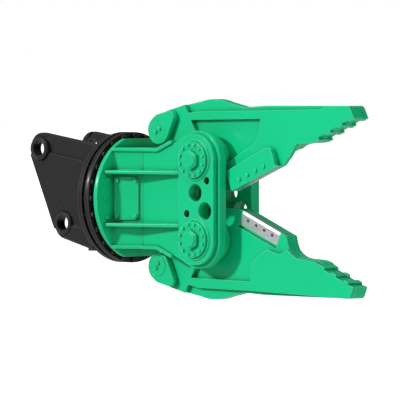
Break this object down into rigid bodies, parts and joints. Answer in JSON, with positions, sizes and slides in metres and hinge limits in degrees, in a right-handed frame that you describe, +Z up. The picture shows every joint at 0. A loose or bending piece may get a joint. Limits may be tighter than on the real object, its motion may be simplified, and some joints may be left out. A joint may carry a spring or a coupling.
{
  "type": "dismantling shear",
  "caption": "Hydraulic dismantling shear: a pinned bracket and slewing head that carries two toothed jaws with shear blades, closed by one cylinder.",
  "frame": {"origin": "centre of the arm pin bore, midway between the two ears", "axes": "+X from the arm pin along the slewing axis to the jaw tips, +Y along the arm pin from the front ear to the back ear, +Z up"},
  "size_m": [2.36, 0.746, 1.1358],
  "materials": {
    "black_paint": "satin",
    "green_paint": "gloss",
    "bare_steel": "satin",
    "blade_steel": "satin",
    "rod_chrome": "gloss",
    "bronze": "satin"
  },
  "bodies": {
    "bracket": {"ear_plate_front": "black_paint", "ear_plate_back": "black_paint", "ear_doublers": "black_paint", "ear_bosses": "black_paint", "pin_bushes": "black_paint", "bracket_plate": "black_paint", "bracket_webs": "black_paint", "bearing_outer_ring": "black_paint", "ring_bolts": "black_paint", "slew_motor": "black_paint", "swivel_core": "bare_steel"},
    "pinion": {"slew_pinion": "bare_steel"},
    "neck": {"bearing_inner_ring": "bare_steel", "bearing_balls": "bare_steel", "turning_flange": "green_paint", "flange_bolts": "green_paint", "neck_plate_front": "green_paint", "neck_plate_back": "green_paint", "deck_top": "green_paint", "deck_bottom": "green_paint", "neck_ribs": "green_paint", "access_covers": "green_paint", "cover_bolts": "green_paint", "side_plate_front": "green_paint", "side_plate_back": "green_paint", "pivot_block_front": "green_paint", "pivot_block_back": "green_paint", "pivot_pins": "bare_steel", "pin_flanges": "green_paint", "flange_screws": "green_paint", "pivot_nuts": "green_paint", "thrust_washers": "bare_steel", "swivel_housing": "black_paint"},
    "upper_jaw": {"upper_core": "green_paint", "upper_cheek_front": "green_paint", "upper_cheek_back": "green_paint", "upper_tail_lobes": "green_paint", "upper_hub": "green_paint", "upper_bush": "bronze", "upper_holder": "green_paint", "upper_blade": "blade_steel", "upper_blade_bolts": "green_paint", "upper_tail_pin": "bare_steel", "upper_pin_caps": "green_paint"},
    "lower_jaw": {"lower_core": "green_paint", "lower_cheek_front": "green_paint", "lower_cheek_back": "green_paint", "lower_tail_lobes": "green_paint", "lower_hub": "green_paint", "lower_bush": "bronze", "lower_blade": "blade_steel", "lower_blade_bolts": "blade_steel", "lower_tail_pin": "bare_steel", "lower_pin_caps": "green_paint"},
    "barrel": {"cylinder_barrel": "black_paint", "cylinder_gland": "bare_steel"},
    "rod": {"cylinder_rod": "rod_chrome", "cylinder_piston": "bare_steel"}
  },
  "joints": [
    {"name": "slew", "type": "hinge", "parent": "bracket", "child": "neck", "pos_m": [0.56, 0, -0.275], "axis": [1, 0, 0], "continuous": true},
    {"name": "pinion_spin", "type": "hinge", "parent": "bracket", "child": "pinion", "pos_m": [0.48, 0, -0.059], "axis": [1, 0, 0], "continuous": true},
    {"name": "upper_jaw_turn", "type": "hinge", "parent": "neck", "child": "upper_jaw", "pos_m": [1.165, 0, -0.05], "axis": [0, 1, 0], "range_deg": [0, 23.5]},
    {"name": "lower_jaw_turn", "type": "hinge", "parent": "neck", "child": "lower_jaw", "pos_m": [1.165, 0, -0.5], "axis": [0, 1, 0], "range_deg": [-23.5, 0]},
    {"name": "barrel_turn", "type": "hinge", "parent": "upper_jaw", "child": "barrel", "pos_m": [0.793, 0, 0.109], "axis": [0, 1, 0], "range_deg": [-23.5, 0]},
    {"name": "rod_turn", "type": "hinge", "parent": "lower_jaw", "child": "rod", "pos_m": [0.793, 0, -0.659], "axis": [0, 1, 0], "range_deg": [0, 23.5]}
  ],
  "couplings": [
    {"joint": "pinion_spin", "follows": "slew", "ratio": 4.8571},
    {"joint": "lower_jaw_turn", "follows": "upper_jaw_turn", "ratio": -1},
    {"joint": "barrel_turn", "follows": "upper_jaw_turn", "ratio": -1},
    {"joint": "rod_turn", "follows": "upper_jaw_turn", "ratio": 1}
  ]
}
